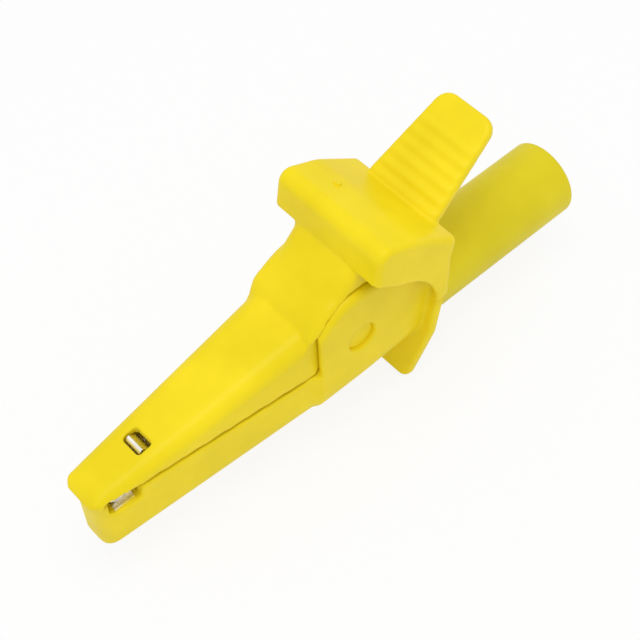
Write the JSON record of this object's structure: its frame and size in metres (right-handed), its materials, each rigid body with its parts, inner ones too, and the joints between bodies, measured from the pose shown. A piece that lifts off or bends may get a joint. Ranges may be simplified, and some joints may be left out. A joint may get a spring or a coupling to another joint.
{
  "type": "crocodile clip",
  "caption": "Fully insulated crocodile clip with long toothed jaws, hooded finger guard, ridged thumb lever and a shrouded 4 mm socket in its rear barrel.",
  "frame": {"origin": "centre of the socket's mouth, in the plane of the barrel's rear end", "axes": "+X leaves the socket, so the jaws' tip lies at low X; +Z is the thumb lever's side; the hinge axis lies along Y and the clip is symmetric in Y"},
  "size_m": [0.0827, 0.0192, 0.0385],
  "materials": {
    "housing": "satin moulded polyamide",
    "sleeve": "satin moulded polyamide",
    "contact_metal": "nickel-plated brass, pressed",
    "pin_steel": "turned steel",
    "spring_steel": "drawn spring wire"
  },
  "bodies": {
    "clip_body": {"lower_housing": "housing", "socket_barrel": "housing", "contact_sleeve": "sleeve", "socket_contact": "contact_metal", "lower_jaw_contact": "contact_metal", "pivot_pin": "pin_steel", "pivot_cap_left": "housing", "pivot_cap_right": "housing", "torsion_spring": "spring_steel", "contact_rivet": "contact_metal"},
    "clip_lever": {"upper_housing": "housing", "upper_jaw_contact": "contact_metal"}
  },
  "joints": [
    {"name": "jaw_hinge", "type": "hinge", "parent": "clip_body", "child": "clip_lever", "pos_m": [-0.0415, 0, 0.0069], "axis": [0, 1, 0], "range_deg": [0, 14], "stiffness_Nm_per_rad": 0.2, "springref_deg": -57.3, "deforming": ["torsion_spring"]}
  ]
}
